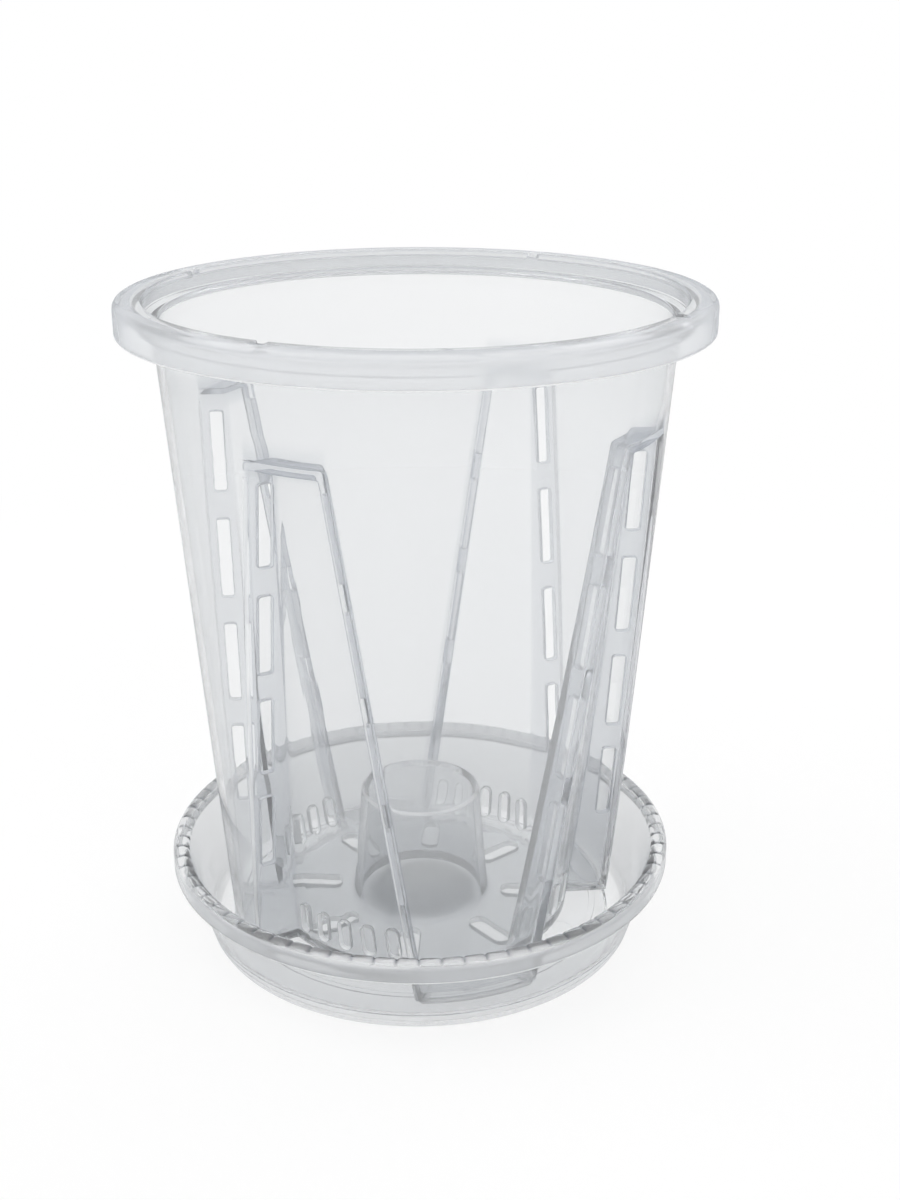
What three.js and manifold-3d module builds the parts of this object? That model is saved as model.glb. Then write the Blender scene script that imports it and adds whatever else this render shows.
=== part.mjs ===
// Clear plant pot with four recessed, slotted air channels, standing loose in a scalloped saucer.
// Millimetres, +Z up. The origin is the middle of the saucer's underside.
// A channel faces each of +X, +Y, -X and -Y.
import * as THREE from 'three';
import { ConvexGeometry } from 'three/addons/geometries/ConvexGeometry.js';
import { mergeVertices } from 'three/addons/utils/BufferGeometryUtils.js';
import Module from 'manifold-3d';

// Pot: overall sizes
const POT_HEIGHT = 162;
const RIM_DIAMETER = 140;
const FOOT_DIAMETER = 100;
const WALL = 1.7;

// Pot rim: a flat flange with a hanging skirt outside and a stepped rebate inside
const RIM_WIDTH = 6.6;
const RIM_SKIRT = 7.4;
const RIM_THICKNESS = 1.8;
const RIM_EDGE = 1.4;
const REBATE_STEP = 3.5;
const REBATE_DEPTH = 4;
const NOTCH_WIDTH = 3.2;
const NOTCH_REACH = 2.4;
const NOTCH_DEPTH = 1.2;

// Pot channels: each has a roof, two slotted side strips and an inner panel that leans in towards the foot
const CHANNEL_COUNT = 4;
const LEDGE_DROP = 29.3;
const CHANNEL_TOP_DEPTH = 6;
const CHANNEL_FOOT_DEPTH = 11.2;
const PANEL_TOP_WIDTH = 10.9;
const PANEL_FOOT_WIDTH = 33.4;
const SIDE_SPLAY = THREE.MathUtils.degToRad(33);

// Slots in the channels' side strips
const SLOT_COUNT = 4;
const SLOT_WIDTH = 3.3;
const SLOT_BRIDGE = 7.2;
const SLOT_TOP_MARGIN = 4;
const SLOT_FOOT_MARGIN = 24.2;
const SLOT_LEAN = 1.4;

// Short slots along the foot of each inner panel
const PANEL_SLOT_COUNT = 5;
const PANEL_SLOT_WIDTH = 3;
const PANEL_SLOT_HEIGHT = 8.5;
const PANEL_SLOT_RISE = 2.2;
const PANEL_SLOT_MARGIN = 3.6;
const PANEL_SLOT_CORNER = 1.3;

// Pot floor, raised a little on the wall's feet, with radial drain slots round a hollow cone
const FLOOR = 1.7;
const FLOOR_LIFT = 0.8;
const FLOOR_BEVEL = 2;
const FLOOR_SLOT_COUNT = 8;
const FLOOR_SLOT_WIDTH = 4.6;
const FLOOR_SLOT_CONE_MARGIN = 3.8;
const FLOOR_SLOT_PANEL_MARGIN = 2.8;
const CONE_BASE_DIAMETER = 35.8;
const CONE_TOP_DIAMETER = 30.8;
const CONE_HEIGHT = 30;

// Saucer
const SAUCER_HEIGHT = 24;
const SAUCER_REACH = 15;
const SAUCER_CLEARANCE = 5;
const SAUCER_WALL = 1.8;
const SAUCER_FLOOR = 2;
const SAUCER_FOOT_HEIGHT = 1;
const SAUCER_FOOT_WIDTH = 5;
const SAUCER_RIM_WIDTH = 3.7;
const SAUCER_RIM_ROUND = 1.8;
const SAUCER_BAND = 5.3;
const SAUCER_BEVEL = 3;
const SAUCER_EDGE = 0.8;
const BEAD_COUNT = 76;
const BEAD_DEPTH = 0.7;

// Saucer floor: a ring that centres the pot from inside its feet, and two sizes of round pad
const RING_CLEARANCE = 1.5;
const RING_WIDTH = 1.6;
const RING_HEIGHT = 0.6;
const SEAT_GAP = 0.3;
const PAD_COUNT = 4;
const LARGE_PAD_DIAMETER = 8;
const LARGE_PAD_INSET = 9.5;
const SMALL_PAD_DIAMETER = 5.4;
const SMALL_PAD_INSET = 8.5;
const PAD_HEIGHT = 0.5;

// Fineness of the round faces, and the margins that keep cuts and joins clean
const POT_STEPS = 64;
const BEAD_STEPS = 2;
const PAD_STEPS = 20;
const CURVE_STEPS = 2;
const CORNER_STEPS = 1;
const SLOT_END_STEPS = 3;
const CUT_MARGIN = 6;

// Finish
const POT_TINT = 0xd9dde2;
const SAUCER_TINT = 0xcfd3d9;
const PLASTIC_ROUGHNESS = 0.2;
const PLASTIC_OPACITY = 0.4;

// Radii and heights that follow from the sizes above, in the pot's own frame with its feet at 0
const rimRadius = RIM_DIAMETER / 2;
const footRadius = FOOT_DIAMETER / 2;
const lipRadius = rimRadius - RIM_WIDTH;
const wallTopRadius = lipRadius - REBATE_STEP + WALL;
const stepUnder = POT_HEIGHT - REBATE_DEPTH - WALL;
const ledgeHeight = POT_HEIGHT - LEDGE_DROP;
const floorTop = FLOOR_LIFT + FLOOR;
const coneTop = floorTop + CONE_HEIGHT;
const coneBaseRadius = CONE_BASE_DIAMETER / 2;
const coneTopRadius = CONE_TOP_DIAMETER / 2;
const splaySlope = Math.tan(SIDE_SPLAY);
const cutDepth = WALL + CUT_MARGIN;

// Saucer radii, which follow the pot's foot so that the pot always stands inside
const saucerRadius = footRadius + SAUCER_REACH;
const saucerFloorRadius = footRadius + SAUCER_CLEARANCE;
const saucerInnerTopRadius = saucerRadius - SAUCER_RIM_WIDTH;
const saucerFloorTop = SAUCER_FOOT_HEIGHT + SAUCER_FLOOR;
const saucerSlope = (saucerInnerTopRadius - saucerFloorRadius) / (SAUCER_HEIGHT - saucerFloorTop);
const saucerWallRun = SAUCER_WALL * Math.hypot(1, saucerSlope);
const potBase = saucerFloorTop + SEAT_GAP;

const wasm = await Module();
wasm.setup();

// Solids from three.js geometry, and back

function toSolid(geometry) {
  const bare = geometry.clone();
  bare.deleteAttribute('normal');
  bare.deleteAttribute('uv');
  const merged = mergeVertices(bare);
  const corners = merged.index.array;
  const triangles = [];
  for (let i = 0; i < corners.length; i += 3) {
    const [a, b, c] = corners.slice(i, i + 3);
    if (a !== b && b !== c && c !== a) triangles.push(a, b, c);
  }
  const vertProperties = new Float32Array(merged.attributes.position.array);
  const triVerts = new Uint32Array(triangles);
  return new wasm.Manifold(new wasm.Mesh({ numProp: 3, vertProperties, triVerts }));
}

function toGeometry(solid) {
  const mesh = solid.getMesh();
  const geometry = new THREE.BufferGeometry();
  geometry.setAttribute('position', new THREE.BufferAttribute(mesh.vertProperties, 3));
  geometry.setIndex(new THREE.BufferAttribute(mesh.triVerts, 1));
  geometry.computeVertexNormals();
  return geometry;
}

// A closed profile of radius and height, turned about the upright axis
function turnedGeometry(profile, steps) {
  return new THREE.LatheGeometry(profile.getPoints(CURVE_STEPS), steps).rotateX(Math.PI / 2);
}

function turnedSolid(profile, steps) {
  return toSolid(turnedGeometry(profile, steps));
}

function joined(solids) {
  return solids.reduce((whole, solid) => whole.add(solid));
}

// Copies of one geometry, evenly spaced about the upright axis
function ringOf(geometry, count, start = 0) {
  const copies = [];
  for (let i = 0; i < count; i++) {
    copies.push(toSolid(geometry.clone().rotateZ(start + (i * 2 * Math.PI) / count)));
  }
  return copies;
}

// A rectangle with cut corners, long along x, pushed through by a depth that is centred on its plane
function slotGeometry(length, width, corner, depth) {
  const x = length / 2;
  const y = width / 2;
  const shape = new THREE.Shape();
  shape.absarc(x - corner, y - corner, corner, 0, Math.PI / 2);
  shape.absarc(corner - x, y - corner, corner, Math.PI / 2, Math.PI);
  shape.absarc(corner - x, corner - y, corner, Math.PI, 1.5 * Math.PI);
  shape.absarc(x - corner, corner - y, corner, 1.5 * Math.PI, 2 * Math.PI);
  const options = { depth, bevelEnabled: false, curveSegments: CORNER_STEPS };
  return new THREE.ExtrudeGeometry(shape, options).translate(0, 0, -depth / 2);
}

// Pot wall, rim, floor and cone, as one turned shell

function wallRadius(z) {
  return THREE.MathUtils.lerp(footRadius, wallTopRadius, z / stepUnder);
}

function potShell() {
  const profile = new THREE.Path();
  profile.moveTo(footRadius, 0);
  profile.lineTo(wallTopRadius, stepUnder);
  profile.lineTo(lipRadius + WALL, stepUnder);
  profile.lineTo(lipRadius + WALL, POT_HEIGHT - RIM_THICKNESS);
  profile.lineTo(rimRadius - RIM_THICKNESS, POT_HEIGHT - RIM_THICKNESS);
  profile.lineTo(rimRadius - RIM_THICKNESS, POT_HEIGHT - RIM_SKIRT);
  profile.lineTo(rimRadius, POT_HEIGHT - RIM_SKIRT);
  profile.lineTo(rimRadius, POT_HEIGHT - RIM_EDGE);
  profile.quadraticCurveTo(rimRadius, POT_HEIGHT, rimRadius - RIM_EDGE, POT_HEIGHT);
  profile.lineTo(lipRadius, POT_HEIGHT);
  profile.lineTo(lipRadius, POT_HEIGHT - REBATE_DEPTH);
  profile.lineTo(lipRadius - REBATE_STEP, POT_HEIGHT - REBATE_DEPTH);
  const bevelTop = floorTop + FLOOR_BEVEL;
  const cornerRadius = wallRadius(floorTop) - WALL;
  profile.lineTo(wallRadius(bevelTop) - WALL, bevelTop);
  profile.lineTo(cornerRadius - FLOOR_BEVEL, floorTop);
  profile.lineTo(coneBaseRadius, floorTop);
  profile.lineTo(coneTopRadius, coneTop);
  profile.lineTo(0, coneTop);
  profile.lineTo(0, coneTop - WALL);
  profile.lineTo(coneTopRadius - WALL, coneTop - WALL);
  profile.lineTo(coneBaseRadius - WALL, FLOOR_LIFT);
  profile.lineTo(wallRadius(FLOOR_LIFT) - WALL, FLOOR_LIFT);
  profile.lineTo(footRadius - WALL, 0);
  profile.closePath();
  return turnedSolid(profile, POT_STEPS);
}

// Pot channels: plan positions of the panel and its sides at any height, with the channel facing +X

function panelRadius(z) {
  const topRadius = wallRadius(ledgeHeight) - CHANNEL_TOP_DEPTH;
  return THREE.MathUtils.lerp(footRadius - CHANNEL_FOOT_DEPTH, topRadius, z / ledgeHeight);
}

// The upright corner where the panel meets a side strip
function panelCorner(z) {
  const halfWidth = THREE.MathUtils.lerp(PANEL_FOOT_WIDTH / 2, PANEL_TOP_WIDTH / 2, z / ledgeHeight);
  const footX = Math.sqrt(panelRadius(0) ** 2 - (PANEL_FOOT_WIDTH / 2) ** 2);
  const topX = Math.sqrt(panelRadius(ledgeHeight) ** 2 - (PANEL_TOP_WIDTH / 2) ** 2);
  return new THREE.Vector2(THREE.MathUtils.lerp(footX, topX, z / ledgeHeight), halfWidth);
}

// The wedge between the two side strips, made wider on each side by an offset
function channelWedge(low, high, offset) {
  const sideways = offset / Math.cos(SIDE_SPLAY);
  const points = [];
  for (const z of [low, high]) {
    const corner = panelCorner(z);
    for (const x of [corner.x - CUT_MARGIN, rimRadius + CUT_MARGIN]) {
      const y = corner.y + (x - corner.x) * splaySlope + sideways;
      points.push(new THREE.Vector3(x, y, z), new THREE.Vector3(x, -y, z));
    }
  }
  return new ConvexGeometry(points);
}

// The space inside the panels, made smaller by an inset
function panelCore(inset) {
  const bottom = -2 * CUT_MARGIN;
  const top = ledgeHeight + CUT_MARGIN;
  const profile = new THREE.Path();
  profile.moveTo(0, bottom);
  profile.lineTo(panelRadius(bottom) - inset, bottom);
  profile.lineTo(panelRadius(top) - inset, top);
  profile.lineTo(0, top);
  profile.closePath();
  return turnedSolid(profile, POT_STEPS);
}

// A solid that reaches to the middle of the pot's wall
function wallMiddle() {
  const top = ledgeHeight + CUT_MARGIN;
  const profile = new THREE.Path();
  profile.moveTo(0, -CUT_MARGIN);
  profile.lineTo(wallRadius(-CUT_MARGIN) - WALL / 2, -CUT_MARGIN);
  profile.lineTo(wallRadius(top) - WALL / 2, top);
  profile.lineTo(0, top);
  profile.closePath();
  return turnedSolid(profile, POT_STEPS);
}

// The panels, side strips and roofs, which end level with the floor's underside
function channelWalls() {
  const wedges = joined(ringOf(channelWedge(FLOOR_LIFT, ledgeHeight + WALL, WALL), CHANNEL_COUNT));
  return wedges.intersect(wallMiddle()).subtract(panelCore(WALL));
}

function channelVoids() {
  const wedges = joined(ringOf(channelWedge(-CUT_MARGIN, ledgeHeight, 0), CHANNEL_COUNT));
  return wedges.subtract(panelCore(0));
}

// Slots in the side strips

// The middle of a side strip's thickness, shifted outward from the middle of its width
function stripPoint(z, shift) {
  const inner = panelCorner(z);
  const along = new THREE.Vector2(Math.cos(SIDE_SPLAY), Math.sin(SIDE_SPLAY));
  const half = inner.dot(along);
  const width = Math.sqrt(half ** 2 - inner.lengthSq() + wallRadius(z) ** 2) - half;
  const point = inner.clone().addScaledVector(along, width / 2 + shift);
  return new THREE.Vector3(point.x, point.y + WALL / 2 / Math.cos(SIDE_SPLAY), z);
}

// One slot between two heights, lying in its strip; side is 1 or -1
function stripSlot(low, high, shiftLow, shiftHigh, side) {
  const bottom = stripPoint(low, shiftLow);
  const top = stripPoint(high, shiftHigh);
  const upward = top.clone().sub(bottom);
  const length = upward.length();
  upward.normalize();
  const outward = new THREE.Vector3(Math.cos(SIDE_SPLAY), Math.sin(SIDE_SPLAY), 0);
  const across = new THREE.Vector3().crossVectors(upward, outward).normalize();
  const level = new THREE.Vector3().crossVectors(across, upward);
  for (const vector of [bottom, top, upward, across, level]) vector.y *= side;
  const place = new THREE.Matrix4().makeBasis(upward, level, across.multiplyScalar(side));
  place.setPosition(bottom.add(top).divideScalar(2));
  return new THREE.BoxGeometry(length, SLOT_WIDTH, cutDepth).applyMatrix4(place);
}

function stripSlots() {
  const top = ledgeHeight - SLOT_TOP_MARGIN;
  const bottom = floorTop + SLOT_FOOT_MARGIN;
  const length = (top - bottom - (SLOT_COUNT - 1) * SLOT_BRIDGE) / SLOT_COUNT;
  const lean = (z) => SLOT_LEAN * (1 - (2 * (z - bottom)) / (top - bottom));
  const slots = [];
  for (let i = 0; i < SLOT_COUNT; i++) {
    const low = bottom + i * (length + SLOT_BRIDGE);
    const high = low + length;
    for (const side of [1, -1]) {
      slots.push(...ringOf(stripSlot(low, high, lean(low), lean(high), side), CHANNEL_COUNT));
    }
  }
  return slots;
}

// Short slots along the foot of each panel
function panelSlots() {
  const height = floorTop + PANEL_SLOT_RISE + PANEL_SLOT_HEIGHT / 2;
  const radius = panelRadius(height);
  const slot = slotGeometry(PANEL_SLOT_HEIGHT, PANEL_SLOT_WIDTH, PANEL_SLOT_CORNER, cutDepth);
  slot.rotateY(Math.PI / 2).translate(radius - WALL / 2, 0, height);
  const pitch = (PANEL_FOOT_WIDTH - 2 * PANEL_SLOT_MARGIN) / (PANEL_SLOT_COUNT - 1) / radius;
  const slots = [];
  for (let i = 0; i < PANEL_SLOT_COUNT; i++) {
    slots.push(...ringOf(slot, CHANNEL_COUNT, (i - (PANEL_SLOT_COUNT - 1) / 2) * pitch));
  }
  return slots;
}

// Radial drain slots, half a step away from the channels' middles
function floorSlots() {
  const inner = coneBaseRadius + FLOOR_SLOT_CONE_MARGIN;
  const outer = panelRadius(floorTop) - WALL - FLOOR_SLOT_PANEL_MARGIN;
  const half = FLOOR_SLOT_WIDTH / 2;
  const shape = new THREE.Shape();
  shape.absarc(outer - half, 0, half, -Math.PI / 2, Math.PI / 2);
  shape.absarc(inner + half, 0, half, Math.PI / 2, 1.5 * Math.PI);
  const options = { depth: FLOOR + 2 * WALL, bevelEnabled: false, curveSegments: SLOT_END_STEPS };
  const slot = new THREE.ExtrudeGeometry(shape, options).translate(0, 0, FLOOR_LIFT - WALL);
  return ringOf(slot, FLOOR_SLOT_COUNT, Math.PI / FLOOR_SLOT_COUNT);
}

// Small notches across the inner edge of the rim's top, one over each channel
function rimNotches() {
  const notch = new THREE.BoxGeometry(2 * NOTCH_REACH, NOTCH_WIDTH, 2 * NOTCH_DEPTH);
  notch.translate(lipRadius, 0, POT_HEIGHT);
  return ringOf(notch, CHANNEL_COUNT);
}

function pot() {
  const cuts = [...stripSlots(), ...panelSlots(), ...floorSlots(), ...rimNotches()];
  const body = potShell().add(channelWalls()).subtract(channelVoids());
  return cuts.reduce((rest, cut) => rest.subtract(cut), body);
}

// Saucer

// Lowers every second column of the rim's rounded top, so that the rim reads as a row of beads
function scallop(geometry, rows) {
  const position = geometry.attributes.position;
  const roundStart = SAUCER_HEIGHT - SAUCER_RIM_ROUND;
  for (let i = 0; i < position.count; i++) {
    const column = Math.floor(i / rows);
    const share = (position.getZ(i) - roundStart) / SAUCER_RIM_ROUND;
    if (column % BEAD_STEPS !== 0 && share > 0) position.setZ(i, position.getZ(i) - BEAD_DEPTH * share);
  }
  return geometry;
}

function saucerDish() {
  const innerRadius = (z) => saucerFloorRadius + (z - saucerFloorTop) * saucerSlope;
  const outerRadius = (z) => innerRadius(z) + saucerWallRun;
  const footEdge = outerRadius(0) - SAUCER_EDGE;
  const bandUnder = SAUCER_HEIGHT - SAUCER_BAND;
  const roundStart = SAUCER_HEIGHT - SAUCER_RIM_ROUND;
  const bevelTop = saucerFloorTop + SAUCER_BEVEL;
  const rimMiddle = saucerRadius - SAUCER_RIM_WIDTH / 2;
  const profile = new THREE.Path();
  profile.moveTo(0, SAUCER_FOOT_HEIGHT);
  profile.lineTo(footEdge - SAUCER_FOOT_WIDTH - SAUCER_FOOT_HEIGHT, SAUCER_FOOT_HEIGHT);
  profile.lineTo(footEdge - SAUCER_FOOT_WIDTH, 0);
  profile.lineTo(footEdge, 0);
  profile.lineTo(outerRadius(SAUCER_EDGE), SAUCER_EDGE);
  profile.lineTo(outerRadius(bandUnder), bandUnder);
  profile.lineTo(saucerRadius, bandUnder);
  profile.lineTo(saucerRadius, roundStart);
  profile.quadraticCurveTo(saucerRadius, SAUCER_HEIGHT, rimMiddle, SAUCER_HEIGHT);
  profile.quadraticCurveTo(saucerInnerTopRadius, SAUCER_HEIGHT, innerRadius(roundStart), roundStart);
  profile.lineTo(innerRadius(bevelTop), bevelTop);
  profile.lineTo(saucerFloorRadius - SAUCER_BEVEL, saucerFloorTop);
  profile.lineTo(0, saucerFloorTop);
  profile.closePath();
  const rows = profile.getPoints(CURVE_STEPS).length;
  return toSolid(scallop(turnedGeometry(profile, BEAD_COUNT * BEAD_STEPS), rows));
}

// A low ring just inside the pot's feet
function centringRing() {
  const outer = footRadius - WALL - RING_CLEARANCE;
  const inner = outer - RING_WIDTH;
  const bottom = saucerFloorTop - SAUCER_FLOOR / 2;
  const top = saucerFloorTop + RING_HEIGHT;
  const profile = new THREE.Path();
  profile.moveTo(inner, bottom);
  profile.lineTo(outer, bottom);
  profile.lineTo(outer, top);
  profile.lineTo(inner, top);
  profile.closePath();
  return turnedSolid(profile, POT_STEPS);
}

function pads(diameter, inset, start) {
  const depth = SAUCER_FLOOR / 2 + PAD_HEIGHT;
  const pad = new THREE.CylinderGeometry(diameter / 2, diameter / 2, depth, PAD_STEPS).rotateX(Math.PI / 2);
  pad.translate(footRadius - inset, 0, saucerFloorTop + PAD_HEIGHT - depth / 2);
  return ringOf(pad, PAD_COUNT, start);
}

function saucer() {
  const largePads = pads(LARGE_PAD_DIAMETER, LARGE_PAD_INSET, 0);
  const smallPads = pads(SMALL_PAD_DIAMETER, SMALL_PAD_INSET, Math.PI / PAD_COUNT);
  return joined([saucerDish(), centringRing(), ...largePads, ...smallPads]);
}

// Scene graph

function clearPlastic(color) {
  const look = { color, roughness: PLASTIC_ROUGHNESS, transparent: true, opacity: PLASTIC_OPACITY };
  return new THREE.MeshStandardMaterial(look);
}

const part = new THREE.Group();

const potMesh = new THREE.Mesh(toGeometry(pot()), clearPlastic(POT_TINT));
potMesh.name = 'pot';
potMesh.position.z = potBase;
part.add(potMesh);

const saucerMesh = new THREE.Mesh(toGeometry(saucer()), clearPlastic(SAUCER_TINT));
saucerMesh.name = 'saucer';
part.add(saucerMesh);

export default part;
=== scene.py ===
"""Looks of the clear plant pot and its saucer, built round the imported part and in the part's own frame.

Sizes are in millimetres until a mesh is made. The pot's heights count from its feet.
"""
import math

import bmesh
import bpy
import numpy as np
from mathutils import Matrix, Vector


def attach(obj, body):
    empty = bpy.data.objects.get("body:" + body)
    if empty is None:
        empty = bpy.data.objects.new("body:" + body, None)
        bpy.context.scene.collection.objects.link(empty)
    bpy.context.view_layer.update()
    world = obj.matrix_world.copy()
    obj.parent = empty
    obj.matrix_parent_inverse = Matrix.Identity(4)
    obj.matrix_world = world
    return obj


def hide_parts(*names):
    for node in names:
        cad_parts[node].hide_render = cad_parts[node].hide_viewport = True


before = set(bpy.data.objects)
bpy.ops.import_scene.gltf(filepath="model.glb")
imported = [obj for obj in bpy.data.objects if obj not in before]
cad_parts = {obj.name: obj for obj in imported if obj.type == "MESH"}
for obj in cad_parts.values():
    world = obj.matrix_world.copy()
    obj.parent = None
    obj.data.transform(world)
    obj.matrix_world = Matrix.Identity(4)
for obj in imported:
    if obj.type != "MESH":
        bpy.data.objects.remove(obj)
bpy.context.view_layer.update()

MM = 0.001

# Pot: the same sizes as the part's source
POT_BASE = 3.3
POT_HEIGHT = 162.0
RIM_RADIUS = 70.0
FOOT_RADIUS = 50.0
WALL = 1.7
RIM_WIDTH = 6.6
RIM_SKIRT = 7.4
RIM_THICKNESS = 1.8
REBATE_STEP = 3.5
REBATE_DEPTH = 4.0
NOTCH_WIDTH = 3.2
NOTCH_REACH = 2.4
NOTCH_DEPTH = 1.2
CHANNEL_COUNT = 4
LEDGE_DROP = 29.3
CHANNEL_TOP_DEPTH = 6.0
CHANNEL_FOOT_DEPTH = 11.2
PANEL_TOP_WIDTH = 10.9
PANEL_FOOT_WIDTH = 33.4
SPLAY = math.radians(33)
SLOT_COUNT = 4
SLOT_WIDTH = 3.3
SLOT_BRIDGE = 7.2
SLOT_TOP_MARGIN = 4.0
SLOT_FOOT_MARGIN = 24.2
SLOT_LEAN = 1.4
PANEL_SLOT_WIDTH = 3.0
PANEL_SLOT_HEIGHT = 8.5
PANEL_SLOT_RISE = 2.2
PANEL_SLOT_MARGIN = 3.6
PANEL_SLOT_GAPS = 4
FLOOR = 1.7
FLOOR_LIFT = 0.8
FLOOR_SLOT_WIDTH = 4.6
FLOOR_SLOT_CONE_MARGIN = 3.8
FLOOR_SLOT_PANEL_MARGIN = 2.8
FLOOR_SLOT_ANGLE = math.radians(22.5)
CONE_BASE_RADIUS = 17.9
CONE_TOP_RADIUS = 15.4
CONE_HEIGHT = 30.0

# Saucer: the same sizes as the part's source
SAUCER_HEIGHT = 24.0
SAUCER_RADIUS = 65.0
SAUCER_FLOOR_RADIUS = 55.0
SAUCER_WALL = 1.8
SAUCER_FLOOR_UNDER = 1.0
SAUCER_FLOOR_TOP = 3.0
SAUCER_FOOT_WIDTH = 5.0
SAUCER_RIM_WIDTH = 3.7
SAUCER_RIM_ROUND = 1.8
SAUCER_BAND = 5.3
SAUCER_BEVEL = 3.0
SAUCER_EDGE = 0.8
BEAD_COUNT = 76
RING_OUTER = 46.8
RING_WIDTH = 1.6
RING_HEIGHT = 0.6
PAD_HEIGHT = 0.5
LARGE_PAD = (40.5, 8.0, 0.0)
SMALL_PAD = (41.5, 5.4, math.pi / 4)

# Soft edges that the moulded pieces have
SLOT_EDGE = 0.25
SLOT_CORNER = 0.7
PANEL_SLOT_CORNER = 1.35
FLOOR_SLOT_CORNER = 2.1
PANEL_CORNER_OUTSIDE = 0.5
PANEL_CORNER_INSIDE = 1.1
WALL_CORNER_OUTSIDE = 0.8
WALL_CORNER_INSIDE = 1.3
FLOOR_FILLET = 0.6
ROOF_ROUND = 1.0
ROOF_FILLET = 0.5
FOOT_ROUND = 0.25
CONE_ROUND = 1.0
RIM_ROUND = 1.8
RIM_SMALL_ROUND = 0.5
SAUCER_SKIRT = 1.4
SAUCER_SKIRT_DEPTH = 2.6
BEAD_GROOVE = 0.25
BEAD_GROOVE_WIDTH = 0.15
BEAD_GROOVE_POWER = 1.5
BEAD_GROOVE_START = math.radians(35)
BEAD_GROOVE_END = math.radians(35)
PAD_SLOPE = 0.4

# Fineness of the meshes
CORNER_POINTS = 3
WALL_COLUMNS = 14
END_STEPS = 4
ROUND_STEPS = 3
CONE_STATIONS = (0.06, 0.15, 0.3, 0.45, 0.6, 0.75, 0.9)
BEAD_STATIONS = (0.0, 0.03, 0.08, 0.15, 0.5, 0.85, 0.92, 0.97)
BEAD_ARC_STEPS = 12
PAD_ROWS = 24
UPPER_WALL_ROWS = 3
RIM_ROUND_STEPS = 4
RIM_LEAD = 1.0
FLOOR_EDGE_MARGIN = 0.8
MERGE_DISTANCE = 2e-6

# Heights and radii that follow
LIP_RADIUS = RIM_RADIUS - RIM_WIDTH
WALL_TOP_RADIUS = LIP_RADIUS - REBATE_STEP + WALL
STEP_UNDER = POT_HEIGHT - REBATE_DEPTH - WALL
LEDGE = POT_HEIGHT - LEDGE_DROP
ROOF_TOP = LEDGE + WALL
FLOOR_TOP = FLOOR_LIFT + FLOOR
CONE_TOP = FLOOR_TOP + CONE_HEIGHT
ALONG = np.array([math.cos(SPLAY), math.sin(SPLAY)])
ACROSS = np.array([-math.sin(SPLAY), math.cos(SPLAY)])
SECTOR = 2 * math.pi / CHANNEL_COUNT

# Marks on the meshes: how hazy, grey, dark or bright each place looks. The dark marks hold painted shade
# and painted dark lines as well as darker tones, and the bright line marks are painted highlights
GROUP_HAZE = {"cone": 0.1, "cone_hollow": 0.1, "floor": 0.5, "floor_under": 0.5, "rim": 1.3, "lip": 0.5}
STRIP_HAZE = 0.3
SAUCER_WALL_HAZE = 0.3
BAND_HAZE = 1.6
RIM_SHADE = 0.5
STRIP_FOOT_SHADE = 0.3
RIM_TOP_DARK = 0.12
# Painted dark lines on the lip's top edge and on the step's edge, standing in for refraction there
LIP_PAINTED_DARK_LINE = 0.5
ROOF_DARK = 0.16
# Painted shade on the pot's floor, standing in for the shade under the pot that is seen through it
FLOOR_PAINTED_SHADE = 0.38
# Painted shade on the cone's foot, darkest at the floor and fading out upwards
CONE_PAINTED_SHADE = 0.4
CONE_PAINTED_SHADE_REACH = 15.0
CONE_PAINTED_SHADE_TOP = FLOOR_TOP + CONE_PAINTED_SHADE_REACH
CONE_PAINTED_SHADE_FADE = 9.0
BAND_DARK = 0.18
# Painted shade on the saucer's rounded foot, by the floor
SAUCER_FOOT_PAINTED_SHADE = 0.2
# Painted shade in the grooves between the saucer's beads
BEAD_GROOVE_PAINTED_SHADE = 1.0
# Painted dark outline on the first ring of each slot's rounded edge, standing in for refraction at the
# edge
SLOT_EDGE_PAINTED_OUTLINE = (0.8, 0.0, 0.0)
# Painted highlights: white lines along the feet, the cone's top edge and the outside corners by the wall;
# the rim's skirt and the saucer's band get one along their lower edge
FOOT_PAINTED_HIGHLIGHT = 0.6
CONE_PAINTED_HIGHLIGHT = 0.4
CORNER_PAINTED_HIGHLIGHT = 0.5

# Looks of the plastic
# In each look, dark_tint colours the dark marks, among them painted shade and painted dark lines
POT_LOOK = {
    "tint": (0.98, 0.985, 0.99),
    "clearness": 0.88,
    "bending": 1.15,
    "film": 1.003,
    "edge_tint": (0.979, 0.98, 0.981),
    "shade_tint": (0.97, 0.974, 0.98),
    "shade_edge_tint": (0.94, 0.945, 0.952),
    "dark_tint": (0.5, 0.53, 0.57),
    "rough_low": 0.02,
    "rough_high": 0.05,
}
SAUCER_LOOK = POT_LOOK | {
    "clearness": 0.93,
    "bending": 1.2,
    "edge_tint": (0.978, 0.9795, 0.981),
    "shade_tint": (0.91, 0.915, 0.92),
    "shade_edge_tint": (0.978, 0.9795, 0.981),
    "dark_tint": (0.25, 0.27, 0.3),
}
STRIP_EDGE_LOOK = POT_LOOK | {
    "tint": (0.86, 0.88, 0.91),
    "clearness": 0.6,
    "film": 1.01,
    "edge_tint": (0.985, 0.985, 0.985),
    "rough_low": 0.1,
    "rough_high": 0.2,
}
# Walls of the drain slots and of the panels' slots: nearly opaque white, a painted glow for the light that
# comes out of the plastic's cut edges
PAINTED_GLOW_EDGE_LOOK = POT_LOOK | {
    "tint": (0.97, 0.98, 0.99),
    "clearness": 0.1,
    "edge_tint": (1, 1, 1),
    "dark_tint": (0.3, 0.32, 0.35),
    "rough_low": 0.1,
    "rough_high": 0.2,
}
FROST_ROUGHNESS = 0.05
FROST_HAZE = 0.15
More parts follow.
